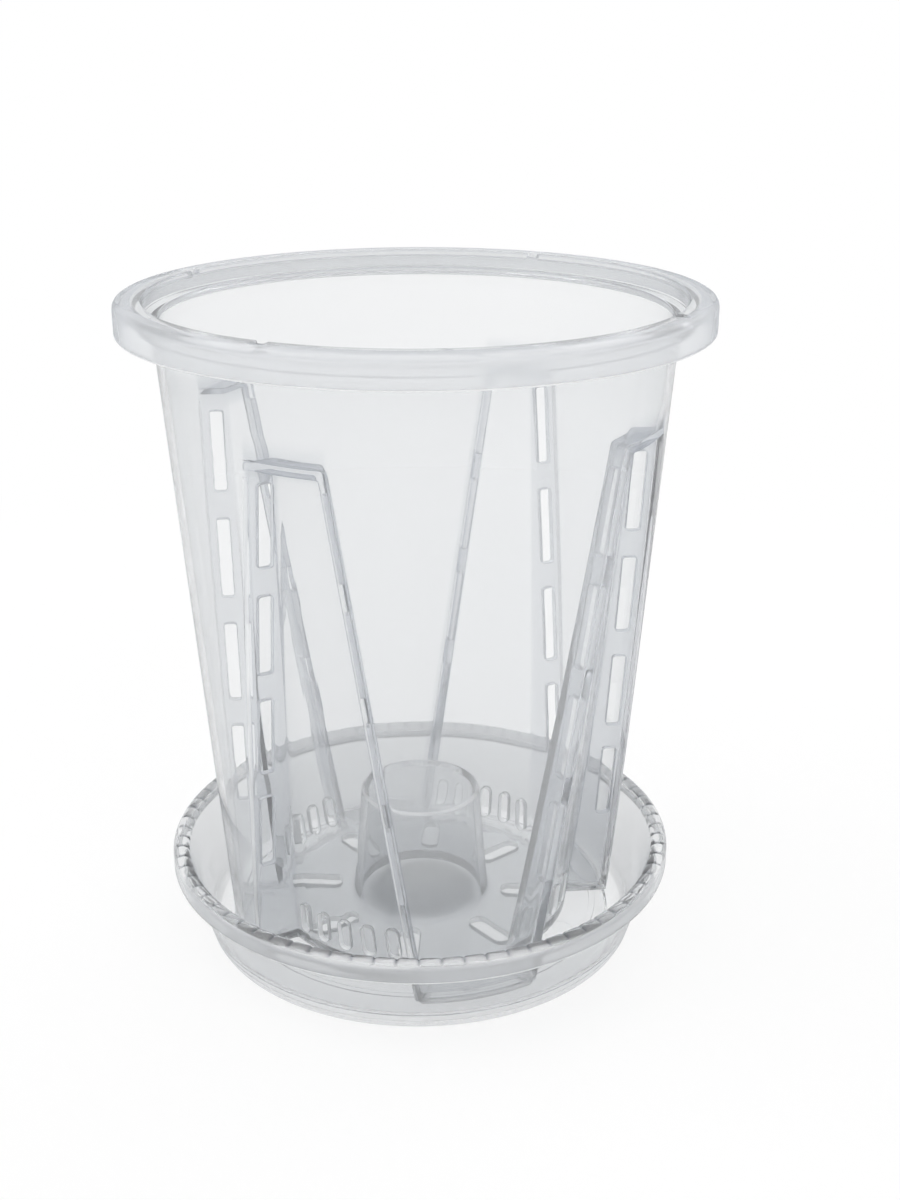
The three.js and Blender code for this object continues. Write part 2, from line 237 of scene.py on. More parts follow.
# How much less clear the plastic is under a painted highlight
PAINTED_HIGHLIGHT_HAZE = 0.6
COAT_ROUGHNESS = 0.05
GLOSS_NOISE = {"scale": 60, "detail": 3, "stretch": (1, 1, 0.35)}
FLOW_NOISE = {"scale": 45, "detail": 2, "stretch": (1, 1, 0.5)}
NOISE_LOW = 0.3
NOISE_HIGH = 0.7
BUMP_STRENGTH = 0.07
BUMP_DISTANCE = 0.001
PAINTED_HIGHLIGHT_WHITE = (1, 1, 1)

# Stage, light and camera: metres and watts, but the camera's place in millimetres
FLOOR_REACH = 8.0
FLOOR_COLOUR = (0.9, 0.9, 0.9, 1)
SHADOW_START = 0.1
SHADOW_END = 0.42
# A fixed spot under the cone, set a little to the back, where the floor is not whitened: a painted shadow
PAINTED_SHADOW_PLACE = (-0.0033, 0.0063, 0)
PAINTED_SHADOW_START = 0.012
PAINTED_SHADOW_END = 0.0195
PAINTED_SHADOW_WHITE = 0.08
THROUGH_WHITE = 0.8
CAMERA_WHITE = 0.85
WORLD_LIGHT = 0.75
LIGHTS = {"key": ((-0.9, -0.5, 1.5), 9), "fill": ((1.1, -0.6, 1.0), 4), "back": ((0.1, 1.2, 1.2), 5)}
LIGHT_SIZE = 1.2
LIGHT_TARGET = (0, 0, 0.08)
LIGHT_BOUNCES = 32
CAMERA_PLACE = (177.1, -319.7, 229.5)
CAMERA_HEADING = math.radians(27.76)
CAMERA_PITCH = math.radians(21.18)
CAMERA_LENS = 46.75
CAMERA_SENSOR = 36


# Small geometry helpers

def lerp(a, b, t):
    return a + (b - a) * t


def polar(radius, angle):
    return np.array([radius * math.cos(angle), radius * math.sin(angle)])


def angle_of(point):
    return math.atan2(point[1], point[0])


def reach(start, direction, radius):
    """How far a line from start goes before it crosses a circle about the axis."""
    along = start @ direction
    return -along + math.sqrt(along ** 2 - start @ start + radius ** 2)


def curve(start, control, end):
    """Points of a rounded corner, without its two ends."""
    points = []
    for i in range(1, CORNER_POINTS + 1):
        t = i / (CORNER_POINTS + 1)
        points.append(lerp(lerp(start, control, t), lerp(control, end, t), t))
    return points


def rounded(profile, steps=ROUND_STEPS):
    """A polyline of (radius, height, rounding) with its corners rounded."""
    points = [np.array(profile[0][:2], float)]
    for before, here, after in zip(profile, profile[1:], profile[2:]):
        corner = np.array(here[:2], float)
        setback = here[2]
        if setback <= 0:
            points.append(corner)
            continue
        back = np.array(before[:2], float) - corner
        ahead = np.array(after[:2], float) - corner
        start = corner + back / np.linalg.norm(back) * setback
        end = corner + ahead / np.linalg.norm(ahead) * setback
        for i in range(steps + 1):
            t = i / steps
            points.append(lerp(lerp(start, corner, t), lerp(corner, end, t), t))
    points.append(np.array(profile[-1][:2], float))
    return points


def slot_rows(low, high, corner):
    """Stations along a slot, closer together where its ends are round."""
    steps = [corner * (1 - math.cos(a)) for a in np.linspace(0, math.pi / 2, END_STEPS + 1)]
    return [low + s for s in steps] + [(low + high) / 2] + [high - s for s in reversed(steps)]


def slot_half(at, low, high, half, corner):
    """Half the width of a slot at one of its stations."""
    inside = max(min(at - low, high - at), 0.0)
    if inside >= corner:
        return half
    return half - corner + math.sqrt(corner ** 2 - (corner - inside) ** 2)


def smooth_step(value):
    value = np.clip(value, 0, 1)
    return value * value * (3 - 2 * value)


# Pot: plan of the wall, the strips and the panels at any height

def wall_radius(z):
    return lerp(FOOT_RADIUS, WALL_TOP_RADIUS, z / STEP_UNDER)


def panel_radius(z):
    top = wall_radius(LEDGE) - CHANNEL_TOP_DEPTH
    return lerp(FOOT_RADIUS - CHANNEL_FOOT_DEPTH, top, z / LEDGE)


def panel_corner(z):
    foot_half = PANEL_FOOT_WIDTH / 2
    top_half = PANEL_TOP_WIDTH / 2
    foot_x = math.sqrt(panel_radius(0) ** 2 - foot_half ** 2)
    top_x = math.sqrt(panel_radius(LEDGE) ** 2 - top_half ** 2)
    return np.array([lerp(foot_x, top_x, z / LEDGE), lerp(foot_half, top_half, z / LEDGE)])


STRIP_FOOT = FLOOR_TOP + SLOT_FOOT_MARGIN
STRIP_HEAD = LEDGE - SLOT_TOP_MARGIN
SLOT_LENGTH = (STRIP_HEAD - STRIP_FOOT - (SLOT_COUNT - 1) * SLOT_BRIDGE) / SLOT_COUNT
STRIP_SLOTS = []
for number in range(SLOT_COUNT):
    slot_low = STRIP_FOOT + number * (SLOT_LENGTH + SLOT_BRIDGE)
    STRIP_SLOTS.append((slot_low - SLOT_EDGE, slot_low + SLOT_LENGTH + SLOT_EDGE))
PANEL_SLOT_LOW = FLOOR_TOP + PANEL_SLOT_RISE - SLOT_EDGE
PANEL_SLOT_HIGH = PANEL_SLOT_LOW + PANEL_SLOT_HEIGHT + 2 * SLOT_EDGE
PANEL_SLOT_MIDDLE = (PANEL_SLOT_LOW + PANEL_SLOT_HIGH) / 2
PANEL_SLOT_RADIUS = panel_radius(PANEL_SLOT_MIDDLE)
PANEL_PITCH = (PANEL_FOOT_WIDTH - 2 * PANEL_SLOT_MARGIN) / PANEL_SLOT_GAPS / PANEL_SLOT_RADIUS


def strip_slot_half(z):
    half = SLOT_WIDTH / 2 + SLOT_EDGE
    corner = SLOT_CORNER + SLOT_EDGE
    return max(slot_half(z, low, high, half, corner) for low, high in STRIP_SLOTS)


def panel_angles(z, end):
    """Columns across half a panel, with a group at each slot."""
    half = PANEL_SLOT_WIDTH / 2 + SLOT_EDGE
    corner = PANEL_SLOT_CORNER + SLOT_EDGE
    half = slot_half(z, PANEL_SLOT_LOW, PANEL_SLOT_HIGH, half, corner) / PANEL_SLOT_RADIUS
    narrowing = angle_of(panel_corner(z)) / angle_of(panel_corner(PANEL_SLOT_MIDDLE))
    angles = [0, half / 2, half, PANEL_PITCH / 2]
    for middle in (PANEL_PITCH, 2 * PANEL_PITCH):
        angles += [middle - half, middle - half / 3, middle + half / 3, middle + half]
        angles.append(middle + PANEL_PITCH / 2)
    angles = [angle * narrowing for angle in angles[:-1]]
    return angles + [(angles[-1] + end) / 2, end]


def strip_columns(z, start, end):
    """Distances along a strip, with a group at its slots."""
    share = np.clip((z - STRIP_FOOT) / (STRIP_HEAD - STRIP_FOOT), 0, 1)
    corner = panel_corner(z)
    middle = reach(corner, ALONG, wall_radius(z)) / 2 + SLOT_LEAN * (1 - 2 * share)
    half = strip_slot_half(z)
    slot = [middle - half, middle - half / 3, middle + half / 3, middle + half]
    return [start, (start + slot[0]) / 2, *slot, (slot[-1] + end) / 2, end]


def half_contour(z, inset):
    """Columns from a channel's middle to the middle of the wall beside it, outside or inset."""
    inside = inset > 0
    panel_setback = PANEL_CORNER_INSIDE if inside else PANEL_CORNER_OUTSIDE
    wall_setback = WALL_CORNER_INSIDE if inside else WALL_CORNER_OUTSIDE
    panel = panel_radius(z) - inset
    wall = wall_radius(z) - inset
    origin = panel_corner(z) + ACROSS * inset
    strip_start = reach(origin, ALONG, panel)
    strip_end = reach(origin, ALONG, wall)
    panel_point = origin + ALONG * strip_start
    wall_point = origin + ALONG * strip_end
    panel_end = angle_of(panel_point) - panel_setback / panel
    wall_start = angle_of(wall_point) + wall_setback / wall
    points = [polar(panel, angle) for angle in panel_angles(z, panel_end)]
    shifts = strip_columns(z, strip_start + panel_setback, strip_end - wall_setback)
    strip = [origin + ALONG * shift for shift in shifts]
    points += curve(points[-1], panel_point, strip[0])
    points += strip
    first_wall = polar(wall, wall_start)
    points += curve(strip[-1], wall_point, first_wall)
    for i in range(WALL_COLUMNS + 1):
        points.append(polar(wall, lerp(wall_start, SECTOR / 2, i / WALL_COLUMNS)))
    return np.array(points)


# Pot: the columns of half a channel, and the share that each has in a feature

PANEL_COLUMNS = len(panel_angles(0, 1))
STRIP_COLUMNS = len(strip_columns(0, 0, 1))
FIRST_STRIP = PANEL_COLUMNS + CORNER_POINTS
FIRST_WALL = FIRST_STRIP + STRIP_COLUMNS + CORNER_POINTS
HALF_COLUMNS = FIRST_WALL + WALL_COLUMNS + 1
SECTOR_COLUMNS = 2 * HALF_COLUMNS - 2
COLUMN = np.arange(HALF_COLUMNS)
BEFORE_WALL = COLUMN < FIRST_WALL
CHANNEL_SHARE = smooth_step((FIRST_WALL - COLUMN) / (CORNER_POINTS + 1))[:, None]
FOOT_SHARE = (COLUMN > FIRST_WALL).astype(float)
STRIP_SHARE = ((COLUMN >= PANEL_COLUMNS) & BEFORE_WALL).astype(float)
WALL_CORNER_SHARE = ((COLUMN >= FIRST_WALL - CORNER_POINTS) & BEFORE_WALL).astype(float)
PLAIN_SHARE = np.zeros(HALF_COLUMNS)
PLAIN_GROUPS = ("cone", "floor", "fillet", "floor_under", "cone_hollow",
                "upper_inside", "lip", "neck", "upper_outside")
GROUP_SHADE = {group: PLAIN_SHARE for group in PLAIN_GROUPS}
GROUP_SHADE["roof"] = CHANNEL_SHARE[:, 0]
GROUP_SHADE["roof_under"] = CHANNEL_SHARE[:, 0]
GROUP_SHADE["rim"] = PLAIN_SHARE + RIM_SHADE
PANEL_SLOT_COLUMNS = ((4, 7), (9, 12))
CENTRE_SLOT_COLUMN = 2
STRIP_SLOT_COLUMNS = (FIRST_STRIP + 2, FIRST_STRIP + 5)
FLOOR_SLOT_COLUMNS = (7, 12)


def pushed(points, distance):
    """Half a contour moved sideways, towards the pot's middle where distance is positive."""
    first = points[1] * np.array([1, -1])
    turned = np.array([[0, 1], [1, 0]]) @ points[-2]
    padded = np.vstack([first, points, turned])
    tangent = padded[2:] - padded[:-2]
    tangent /= np.linalg.norm(tangent, axis=1)[:, None]
    return points + np.stack([-tangent[:, 1], tangent[:, 0]], axis=1) * distance


def at_height(points, z):
    return np.column_stack([points, np.broadcast_to(z, len(points))])


def circle(radius, angles, z):
    return at_height(np.column_stack([radius * np.cos(angles), radius * np.sin(angles)]), z)


# Pot: rows of points from the cone's top, over the floor, wall and rim, and back under the floor

def roof_angles(z, inset):
    """Columns on the round wall just above a channel's roof."""
    contour = half_contour(z, inset)
    angles = np.arctan2(contour[:, 1], contour[:, 0])
    angles[:FIRST_WALL] = angles[FIRST_WALL] * COLUMN[:FIRST_WALL] / FIRST_WALL
    return angles


def rim_angles():
    """Columns round the rim, with a group at the notch over each channel."""
    angles = roof_angles(LEDGE, 0)
    edge = NOTCH_WIDTH / 2 / LIP_RADIUS
    softness = SLOT_EDGE / LIP_RADIUS
    notch = [0, edge / 2, edge - softness, edge]
    after = np.linspace(edge, angles[FIRST_WALL], FIRST_WALL - len(notch) + 2)
    angles[:len(notch)] = notch
    angles[len(notch):FIRST_WALL] = after[1:-1]
    return angles


def floor_angles(radius):
    """Columns round the floor, which open at each drain slot."""
    half = slot_half(radius, FLOOR_SLOT_START, FLOOR_SLOT_END, FLOOR_SLOT_WIDTH / 2 + SLOT_EDGE,
                     FLOOR_SLOT_CORNER + SLOT_EDGE)
    opening = math.asin(half / max(radius, FLOOR_SLOT_START))
    first, last = FLOOR_SLOT_COLUMNS
    stations = [0, first, last, HALF_COLUMNS - 1]
    marks = [0, FLOOR_SLOT_ANGLE - opening, FLOOR_SLOT_ANGLE + opening, SECTOR / 2]
    return np.interp(COLUMN, stations, marks)


FLOOR_SLOT_START = CONE_BASE_RADIUS + FLOOR_SLOT_CONE_MARGIN - SLOT_EDGE
FLOOR_SLOT_END = panel_radius(FLOOR_TOP) - WALL - FLOOR_SLOT_PANEL_MARGIN + SLOT_EDGE
FLOOR_SLOT_ROWS = slot_rows(FLOOR_SLOT_START, FLOOR_SLOT_END, FLOOR_SLOT_CORNER + SLOT_EDGE)
FLOOR_EDGE_RADIUS = FLOOR_SLOT_END + FLOOR_EDGE_MARGIN
ARCS = np.linspace(0, math.pi / 2, ROUND_STEPS + 1)


def body_heights():
    """Heights of the rows up the wall, and the first and last row of each slot."""
    rows = [FLOOR_TOP + FLOOR_FILLET]
    spans = []
    slots = [(PANEL_SLOT_LOW, PANEL_SLOT_HIGH, PANEL_SLOT_CORNER)]
    slots += [(low, high, SLOT_CORNER) for low, high in STRIP_SLOTS]
    for low, high, corner in slots:
        rows.append((rows[-1] + low) / 2)
        first = len(rows)
        rows += slot_rows(low, high, corner + SLOT_EDGE)
        spans.append((first, len(rows) - 1))
    return rows, spans


def side_points(top, base, high, low):
    """Stations down the side of the cone or of its hollow."""
    return [(lerp(top, base, share), lerp(high, low, share), 0) for share in CONE_STATIONS]


def cone_rows():
    flat = CONE_TOP_RADIUS - CONE_ROUND - FOOT_ROUND
    profile = [(0, CONE_TOP, 0), (CONE_TOP_RADIUS / 2, CONE_TOP, 0), (flat, CONE_TOP, 0),
               (CONE_TOP_RADIUS, CONE_TOP, CONE_ROUND),
               *side_points(CONE_TOP_RADIUS, CONE_BASE_RADIUS, CONE_TOP, FLOOR_TOP),
               (CONE_BASE_RADIUS, FLOOR_TOP, CONE_ROUND), (FLOOR_SLOT_START - SLOT_EDGE, FLOOR_TOP, 0)]
    return [circle(r, floor_angles(r), z) for r, z in rounded(profile)]


def cone_hollow_rows():
    base = CONE_BASE_RADIUS - WALL
    top = CONE_TOP_RADIUS - WALL
    under = CONE_TOP - WALL
    profile = [(FLOOR_SLOT_START - SLOT_EDGE, FLOOR_LIFT, 0), (base, FLOOR_LIFT, RIM_SMALL_ROUND),
               *side_points(top, base, under, FLOOR_LIFT)[::-1],
               (top, under, RIM_SMALL_ROUND), (top / 2, under, 0), (0, under, 0)]
    return [circle(r, floor_angles(r), z) for r, z in rounded(profile)]


def floor_rows(z):
    return [circle(r, floor_angles(r), z) for r in FLOOR_SLOT_ROWS]


def floor_fillet_rows():
    rows = [circle(FLOOR_EDGE_RADIUS, floor_angles(FLOOR_EDGE_RADIUS), FLOOR_TOP)]
    for arc in ARCS[:-1]:
        z = FLOOR_TOP + FLOOR_FILLET * (1 - math.cos(arc))
        contour = half_contour(FLOOR_TOP + FLOOR_FILLET, WALL)
        rows.append(at_height(pushed(contour, FLOOR_FILLET * (1 - math.sin(arc))), z))
    return rows


def roof_rows():
    """The inside, from the panels' tops over the roofs to the wall above."""
    rows = []
    for arc in ARCS:
        z = ROOF_TOP - ROOF_ROUND * (1 - math.sin(arc))
        contour = half_contour(z, WALL)
        moved = pushed(contour, -ROOF_ROUND * (1 - math.cos(arc)))
        rows.append(at_height(lerp(contour, moved, CHANNEL_SHARE), z))
    angles = roof_angles(ROOF_TOP, WALL)
    after = []
    for arc in ARCS:
        z = ROOF_TOP + ROOF_FILLET * (1 - math.cos(arc))
        inset = ROOF_FILLET * (1 - math.sin(arc)) * CHANNEL_SHARE[:, 0]
        after.append(circle(wall_radius(z) - WALL - inset, angles, z))
    middle = lerp(rows[-1], after[0], 0.5)
    return rows + [middle] + after


def roof_under_rows():
    """The outside, from the wall above a channel, under its roof and down to the panel."""
    angles = roof_angles(LEDGE, 0)
    rows = []
    for arc in reversed(ARCS):
        z = LEDGE + ROOF_FILLET * (1 - math.cos(arc))
        inset = ROOF_FILLET * (1 - math.sin(arc)) * CHANNEL_SHARE[:, 0]
        rows.append(circle(wall_radius(z) - inset, angles, z))
    after = []
    for arc in reversed(ARCS):
        z = LEDGE - ROOF_FILLET * (1 - math.sin(arc))
        contour = half_contour(z, 0)
        moved = pushed(contour, -ROOF_FILLET * (1 - math.cos(arc)))
        after.append(at_height(lerp(contour, moved, CHANNEL_SHARE), z))
    return rows + [lerp(rows[-1], after[0], 0.5)] + after


def upper_wall_rows(inset, low, high, count):
    """The round wall between the roofs and the rim, from low to high."""
    here = roof_angles(ROOF_TOP, inset) if inset else roof_angles(LEDGE, 0)
    rim = rim_angles()
    rows = []
    for i in range(1, count + 1):
        share = i / (count + 1)
        z = lerp(low, high, share)
        rows.append(circle(wall_radius(z) - inset, lerp(here, rim, share), z))
    return rows


def notched(radius, z, angles):
    """Heights of a rim row, lowered where the notches are."""
    heights = np.full(len(angles), z)
    if radius < LIP_RADIUS + NOTCH_REACH and z > POT_HEIGHT - NOTCH_DEPTH:
        edge = (NOTCH_WIDTH / 2 - SLOT_EDGE / 2) / LIP_RADIUS
        heights[angles < edge] = POT_HEIGHT - NOTCH_DEPTH
    return heights


def rim_rows():
    """The rim in three groups: the stepped lip, the flange with its skirt, and the neck under it."""
    inner = LIP_RADIUS - REBATE_STEP
    seat = POT_HEIGHT - REBATE_DEPTH
    skirt = RIM_RADIUS - RIM_THICKNESS
    under = POT_HEIGHT - RIM_THICKNESS
    reach_end = LIP_RADIUS + NOTCH_REACH
    neck = LIP_RADIUS + WALL
    profile = [(inner, seat - RIM_LEAD, 0), (inner, seat, RIM_SMALL_ROUND),
               (LIP_RADIUS, seat, RIM_SMALL_ROUND),
               (LIP_RADIUS, POT_HEIGHT - NOTCH_DEPTH, 0), (LIP_RADIUS, POT_HEIGHT, RIM_SMALL_ROUND),
               (reach_end - SLOT_EDGE, POT_HEIGHT, 0), (reach_end + SLOT_EDGE, POT_HEIGHT, 0),
               (RIM_RADIUS, POT_HEIGHT, RIM_ROUND), (RIM_RADIUS, POT_HEIGHT - RIM_SKIRT, RIM_SMALL_ROUND),
               (skirt, POT_HEIGHT - RIM_SKIRT, RIM_SMALL_ROUND), (skirt, under, RIM_SMALL_ROUND),
               (neck, under, RIM_SMALL_ROUND), (neck, STEP_UNDER, RIM_SMALL_ROUND),
               (WALL_TOP_RADIUS, STEP_UNDER, RIM_SMALL_ROUND), (WALL_TOP_RADIUS, STEP_UNDER - RIM_LEAD, 0)]
    angles = rim_angles()
    outline = rounded(profile, RIM_ROUND_STEPS)
    rows = [circle(r, angles, notched(r, z, angles)) for r, z in outline]
    flange = [i for i, (r, z) in enumerate(outline) if r > neck + RIM_SMALL_ROUND]
    first, last = flange[0], flange[-1] + 1
    return rows[:first], rows[first:last], rows[last:]


def foot_rows():
    """The lower edge: the strips and panels end at the floor, and the wall goes on down as feet."""
    edge = FLOOR_LIFT + FOOT_ROUND
    foot = FLOOR_LIFT * (1 - FOOT_SHARE)
    outside = half_contour(FLOOR_LIFT, 0)
    inside = half_contour(FLOOR_LIFT, WALL)
    return [at_height(outside, edge), at_height(outside, foot + FOOT_ROUND),
            at_height(pushed(outside, FOOT_ROUND), foot), at_height(pushed(inside, -FOOT_ROUND), foot),
            at_height(inside, foot + FOOT_ROUND * FOOT_SHARE), at_height(inside, FLOOR_LIFT),
            circle(FLOOR_EDGE_RADIUS, floor_angles(FLOOR_EDGE_RADIUS), FLOOR_LIFT)]


def spun(points, angle):
    """Points turned about the upright axis."""
    cosine = math.cos(angle)
    sine = math.sin(angle)
    return points @ np.array([[cosine, -sine, 0], [sine, cosine, 0], [0, 0, 1]]).T


def full_ring(half):
    """All columns of a row, from those between a channel's middle and the wall beside it."""
    mirrored = half[1:-1][::-1] * np.array([1, -1, 1])
    sector = np.vstack([mirrored, half])
    return np.vstack([spun(sector, i * SECTOR) for i in range(CHANNEL_COUNT)])


def full_marks(half):
    """All columns of a row of marks, from those of half a channel."""
    return np.tile(np.concatenate([half[1:-1][::-1], half]), CHANNEL_COUNT)


def mirrored_spans(spans):
    """Column ranges in the whole ring, from ranges in half a channel."""
    found = []
    for i in range(CHANNEL_COUNT):
        middle = i * SECTOR_COLUMNS + HALF_COLUMNS - 2
        for first, last in spans:
            found.append((middle + first, middle + last))
            if first > 0:
                found.append((middle - last, middle - first))
    return found


# Meshes from rows of points, with slots through the wall between two of its faces

STRIP_EDGE = 1
# Material of the drain and panel slots' walls, which carries a painted glow
DRAIN_EDGE = 2


class Grid:
    """A closed mesh made of rows of points, each with marks for its looks."""

    def __init__(self, rows, marks):
        self.rows = np.array(rows)
        self.count, self.columns = self.rows.shape[:2]
        self.points = [tuple(p) for p in self.rows.reshape(-1, 3)]
        self.marks = {name: list(np.concatenate(shares)) for name, shares in marks.items()}
        self.removed = set()
        self.extra = []
        self.extra_edges = []

    def number(self, row, col):
        return row * self.columns + col % self.columns

    def cut(self, front, back, first, last, edge):
        """A slot through front and back, two runs of rows that lie face to face."""
        for rows in (front, back):
            for a, b in zip(rows, rows[1:]):
                for col in range(first, last):
                    self.removed.add((min(a, b), col % self.columns))
        end = len(front) - 1
        loop = [(k, first) for k in range(end)]
        loop += [(end, col) for col in range(first, last)]
        loop += [(k, last) for k in range(end, 0, -1)]
        loop += [(0, col) for col in range(last, first, -1)]
        front_ring = [self.number(front[k], col) for k, col in loop]
        back_ring = [self.number(back[k], col) for k, col in loop]
        rings = [front_ring, *self.round_off(front_ring, back_ring),
                 *self.round_off(back_ring, front_ring)[::-1], back_ring]
        for one, two in zip(rings, rings[1:]):
            for i in range(len(loop)):
                j = (i + 1) % len(loop)
                self.extra.append((one[i], one[j], two[j], two[i]))
                self.extra_edges.append(edge)

    def round_off(self, ring, other):
        """Rings of new points that round the edge between a face and the slot's wall."""
        here = np.array([self.points[i] for i in ring])
        there = np.array([self.points[i] for i in other])
        depth = there - here
        depth /= np.linalg.norm(depth, axis=1)[:, None]
        along = np.roll(here, -1, axis=0) - np.roll(here, 1, axis=0)
        inward = np.cross(depth, along)
        inward /= np.linalg.norm(inward, axis=1)[:, None]
        if np.sum(inward * (here.mean(axis=0) - here)) < 0:
            inward = -inward
        rings = []
        # The first new ring carries a painted dark outline
        for arc, dark in zip(ARCS[1:], SLOT_EDGE_PAINTED_OUTLINE):
            moved = here + SLOT_EDGE * (inward * math.sin(arc) + depth * (1 - math.cos(arc)))
            first = len(self.points)
            self.points += [tuple(p) for p in moved]
            for name, shares in self.marks.items():
                shares += [dark if name == "dark" else 0.0] * len(moved)
            rings.append(list(range(first, first + len(moved))))
        return rings

    def faces(self):
        found = []
        for row in range(self.count - 1):
            for col in range(self.columns):
                if (row, col) not in self.removed:
                    found.append((self.number(row, col), self.number(row, col + 1),
                                  self.number(row + 1, col + 1), self.number(row + 1, col)))
        return found + self.extra

    def to_object(self, name, base):
        mesh = bpy.data.meshes.new(name)
        points = (np.array(self.points) + np.array([0, 0, base])) * MM
        faces = self.faces()
        mesh.from_pydata([tuple(p) for p in points], [], faces)
        plain = len(faces) - len(self.extra)
        for number, edge in enumerate(self.extra_edges):
            mesh.polygons[plain + number].material_index = edge
        for mark_name, shares in self.marks.items():
            mesh.attributes.new(mark_name, "FLOAT", "POINT").data.foreach_set("value", np.array(shares))
        work = bmesh.new()
        work.from_mesh(mesh)
        bmesh.ops.remove_doubles(work, verts=work.verts, dist=MERGE_DISTANCE)
        unused = [v for v in work.verts if not v.link_faces]
        bmesh.ops.delete(work, geom=unused, context="VERTS")
        bmesh.ops.recalc_face_normals(work, faces=work.faces)
        work.to_mesh(mesh)
        work.free()
        mesh.shade_smooth()
        piece = bpy.data.objects.new(name, mesh)
        bpy.context.scene.collection.objects.link(piece)
        return piece


def on_lip_edge(row):
    """Whether a row lies on the rim's inner top edge or on the edge of the step below it."""
    radius = np.hypot(*row[-1, :2])
    edges = ((LIP_RADIUS, POT_HEIGHT), (LIP_RADIUS - REBATE_STEP, POT_HEIGHT - REBATE_DEPTH))
    return any(radius < at + RIM_SMALL_ROUND and row[-1, 2] > top - RIM_SMALL_ROUND for at, top in edges)


def dark_share(name, row):
    """How dark a row of the pot looks: painted shade on the cone's foot and on the floor, painted dark
    lines on the lip's edges, and darker roofs and rim top.
    """
    # Painted shade on the cone's foot, fading out upwards
    if name in ("cone", "cone_hollow") and np.hypot(*row[0, :2]) < CONE_BASE_RADIUS:
        return CONE_PAINTED_SHADE * smooth_step((CONE_PAINTED_SHADE_TOP - row[0, 2]) / CONE_PAINTED_SHADE_FADE)
    if name in ("roof", "roof_under"):
        return ROOF_DARK * CHANNEL_SHARE[:, 0]
    # Painted dark lines on the lip's edges
    if name == "lip" and on_lip_edge(row):
        return LIP_PAINTED_DARK_LINE
    if name in ("lip", "rim") and row[-1, 2] > POT_HEIGHT - RIM_ROUND:
        return RIM_TOP_DARK
    # Painted shade on the floor
    return FLOOR_PAINTED_SHADE if name in ("cone", "floor", "fillet") else 0.0


def shade_share(name, row):
    """How grey a row of the pot looks: the strips are greyer than the walls, but less so at their feet."""
    share = GROUP_SHADE.get(name, STRIP_SHARE)
    if name in ("inside", "outside", "foot"):
        share = share * lerp(STRIP_FOOT_SHADE, 1, smooth_step((row[0, 2] - FLOOR_TOP) / STRIP_FOOT))
    return share


def painted_highlight_share(name, row):
    """Where a row of the pot carries a painted highlight: a white line on an edge that catches the light.
    """
    radius = np.hypot(*row[-1, :2])
    height = row[-1, 2]
    if name == "cone":
        on_edge = abs(radius - CONE_TOP_RADIUS) < CONE_ROUND and abs(height - CONE_TOP) < CONE_ROUND / 2
        return PLAIN_SHARE + CONE_PAINTED_HIGHLIGHT * on_edge
    if name == "rim":
        return PLAIN_SHARE + (height < POT_HEIGHT - RIM_SKIRT + RIM_SMALL_ROUND)
    if name == "foot":
        return PLAIN_SHARE + FOOT_PAINTED_HIGHLIGHT * (height < FLOOR_LIFT)
    if name == "outside":
        return CORNER_PAINTED_HIGHLIGHT * WALL_CORNER_SHARE
    return PLAIN_SHARE


def pot_groups(heights):
    """Rows of half a channel in named groups, in the order in which they follow each other."""
    lip, flange, neck = rim_rows()
    seat = POT_HEIGHT - REBATE_DEPTH
    return [
        ("cone", cone_rows()),
        ("floor", floor_rows(FLOOR_TOP)),
        ("fillet", floor_fillet_rows()),
        ("inside", [at_height(half_contour(z, WALL), z) for z in heights]),
        ("roof", roof_rows()),
        ("upper_inside", upper_wall_rows(WALL, ROOF_TOP + ROOF_FILLET, seat, UPPER_WALL_ROWS)),
        ("lip", lip),
        ("rim", flange),
        ("neck", neck),
        ("upper_outside", upper_wall_rows(0, LEDGE + ROOF_FILLET, STEP_UNDER, UPPER_WALL_ROWS)[::-1]),
        ("roof_under", roof_under_rows()),
        ("outside", [at_height(half_contour(z, 0), z) for z in reversed(heights)]),
        ("foot", foot_rows()),
        ("floor_under", floor_rows(FLOOR_LIFT)[::-1]),
        ("cone_hollow", cone_hollow_rows()),
    ]


def pot_marks(groups):
    """How hazy, grey, dark and bright the pot looks at each point."""
    marks = {"haze": [], "shade": [], "dark": [], "line": []}
    for name, members in groups:
        for member in members:
            shade = shade_share(name, member)
            marks["haze"].append(full_marks(GROUP_HAZE.get(name, 0.0) + STRIP_HAZE * shade))
            marks["shade"].append(full_marks(shade))
            marks["dark"].append(full_marks(PLAIN_SHARE + dark_share(name, member)))
            marks["line"].append(full_marks(painted_highlight_share(name, member)))
    return marks


def panel_slot_spans():
    """Columns of all the short slots at the panels' feet."""
    spans = mirrored_spans(PANEL_SLOT_COLUMNS)
    for i in range(CHANNEL_COUNT):
        middle = i * SECTOR_COLUMNS + HALF_COLUMNS - 2
        spans.append((middle - CENTRE_SLOT_COLUMN, middle + CENTRE_SLOT_COLUMN))
    return spans


def cut_floor(grid, start):
    """The drain slots through the floor."""
    count = len(FLOOR_SLOT_ROWS)
    top = [start["floor"] + k for k in range(count)]
    under = [start["floor_under"] + count - 1 - k for k in range(count)]
    for low, high in mirrored_spans([FLOOR_SLOT_COLUMNS]):
        grid.cut(top, under, low, high, DRAIN_EDGE)


